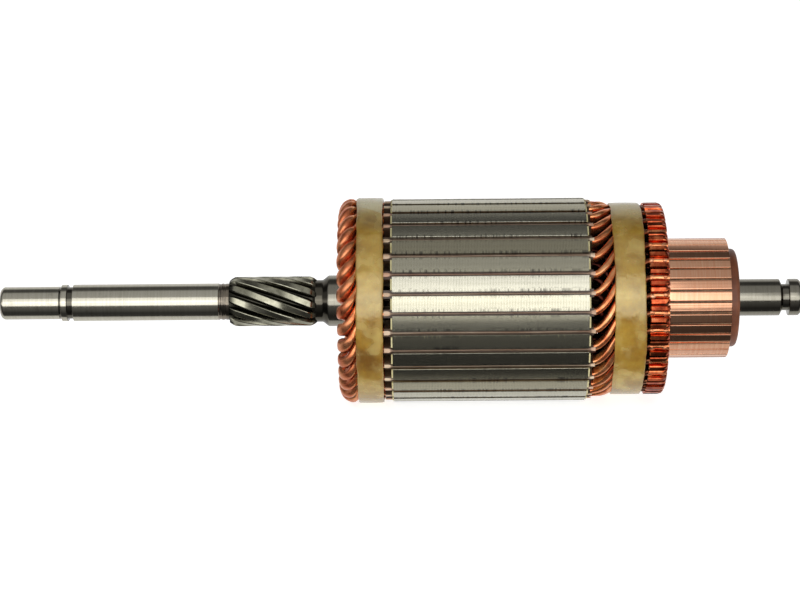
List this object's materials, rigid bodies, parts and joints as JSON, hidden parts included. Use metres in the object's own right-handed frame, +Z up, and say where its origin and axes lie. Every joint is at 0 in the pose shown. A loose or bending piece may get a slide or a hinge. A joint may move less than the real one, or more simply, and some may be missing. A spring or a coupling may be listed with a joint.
{
  "type": "motor armature",
  "caption": "Starter motor armature: splined shaft, laminated core with bar-wound hairpins, resin bands and a slotted-riser commutator.",
  "frame": {"origin": "on the shaft's axis, halfway along the laminated core", "axes": "+X along the shaft towards the commutator end, +Z up with a slot's centre on top"},
  "size_m": [0.2716, 0.07, 0.0699],
  "materials": {
    "shaft_steel": "ground bright steel, darker on the spline",
    "core_steel": "ground edges of thin lamination sheets",
    "insulating_fibre": "varnished fibre board",
    "slot_paper": "varnished insulating paper",
    "winding_copper": "bare copper with a thin varnish",
    "band_resin": "amber resin over glass tape",
    "commutator_copper": "fine-turned copper",
    "mica": "undercut mica",
    "hub_moulding": "reddish brown phenolic moulding"
  },
  "bodies": {
    "root": {"commutator_bars": "commutator_copper", "commutator_end_band": "band_resin", "commutator_end_insulating_disc": "insulating_fibre", "commutator_end_layer_insulation": "slot_paper", "commutator_mica": "mica", "commutator_moulding": "hub_moulding", "drive_end_band": "band_resin", "drive_end_insulating_disc": "insulating_fibre", "drive_end_layer_insulation": "slot_paper", "hairpin_01": "winding_copper", "hairpin_02": "winding_copper", "hairpin_03": "winding_copper", "hairpin_04": "winding_copper", "hairpin_05": "winding_copper", "hairpin_06": "winding_copper", "hairpin_07": "winding_copper", "hairpin_08": "winding_copper", "hairpin_09": "winding_copper", "hairpin_10": "winding_copper", "hairpin_11": "winding_copper", "hairpin_12": "winding_copper", "hairpin_13": "winding_copper", "hairpin_14": "winding_copper", "hairpin_15": "winding_copper", "hairpin_16": "winding_copper", "hairpin_17": "winding_copper", "hairpin_18": "winding_copper", "hairpin_19": "winding_copper", "hairpin_20": "winding_copper", "hairpin_21": "winding_copper", "hairpin_22": "winding_copper", "hairpin_23": "winding_copper", "hairpin_24": "winding_copper", "hairpin_25": "winding_copper", "hairpin_26": "winding_copper", "hairpin_27": "winding_copper", "hairpin_28": "winding_copper", "hairpin_29": "winding_copper", "hairpin_30": "winding_copper", "hairpin_31": "winding_copper", "hairpin_32": "winding_copper", "hairpin_33": "winding_copper", "lamination_stack": "core_steel", "shaft": "shaft_steel", "slot_liners": "slot_paper"}
  },
  "joints": []
}
